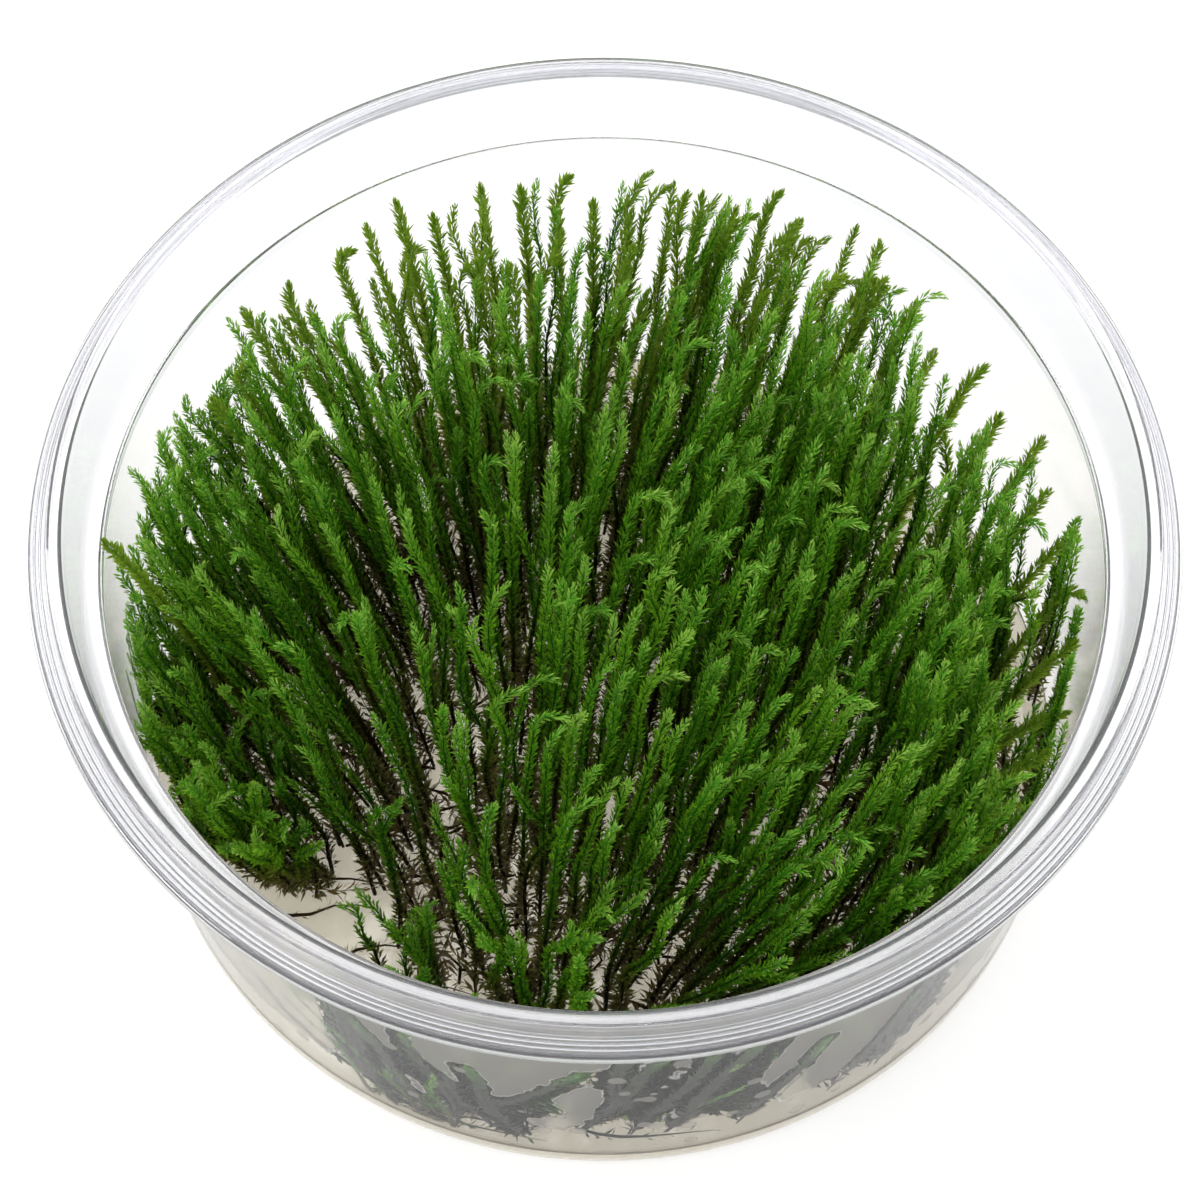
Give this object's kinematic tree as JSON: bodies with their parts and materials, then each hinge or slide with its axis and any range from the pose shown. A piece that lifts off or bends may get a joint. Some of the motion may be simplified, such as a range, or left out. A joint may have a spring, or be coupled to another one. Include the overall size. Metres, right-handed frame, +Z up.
{
  "type": "moss clump in a clear cup",
  "caption": "Cushion of upright leafy moss shoots, matted at the middle and free at the edge, in a round clear thin-walled cup with a rolled rim and no lid.",
  "frame": {"origin": "centre of the cup's foot, on the plane that it stands on", "axes": "+Z up along the cup's axis, -Y towards the side where the cup's floor shows between the shoots"},
  "size_m": [0.117, 0.117, 0.0527],
  "materials": {
    "clear_plastic": "clear thin moulded plastic, glossy, see-through",
    "moss": "moist leafy green, satin, brighter at the tips and brown at the foot",
    "dead_stem": "moist dark brown, satin"
  },
  "bodies": {
    "root": {"cup": "clear_plastic", "loose_stem_1": "dead_stem", "loose_stem_2": "dead_stem", "loose_stem_3": "dead_stem", "loose_stem_4": "dead_stem", "loose_stem_5": "dead_stem", "loose_stem_6": "dead_stem", "moss_mass": "moss", "shoot_01": "moss", "shoot_02": "moss", "shoot_03": "moss", "shoot_04": "moss", "shoot_05": "moss", "shoot_06": "moss", "shoot_07": "moss", "shoot_08": "moss", "shoot_09": "moss", "shoot_10": "moss", "shoot_11": "moss", "shoot_12": "moss", "shoot_13": "moss", "shoot_14": "moss", "shoot_15": "moss", "shoot_16": "moss", "shoot_17": "moss", "shoot_18": "moss", "shoot_19": "moss", "shoot_20": "moss", "shoot_21": "moss", "shoot_22": "moss", "shoot_23": "moss", "shoot_24": "moss", "shoot_25": "moss", "shoot_26": "moss", "shoot_27": "moss", "shoot_28": "moss", "shoot_29": "moss", "shoot_30": "moss", "shoot_31": "moss", "shoot_32": "moss", "shoot_33": "moss"}
  },
  "joints": []
}
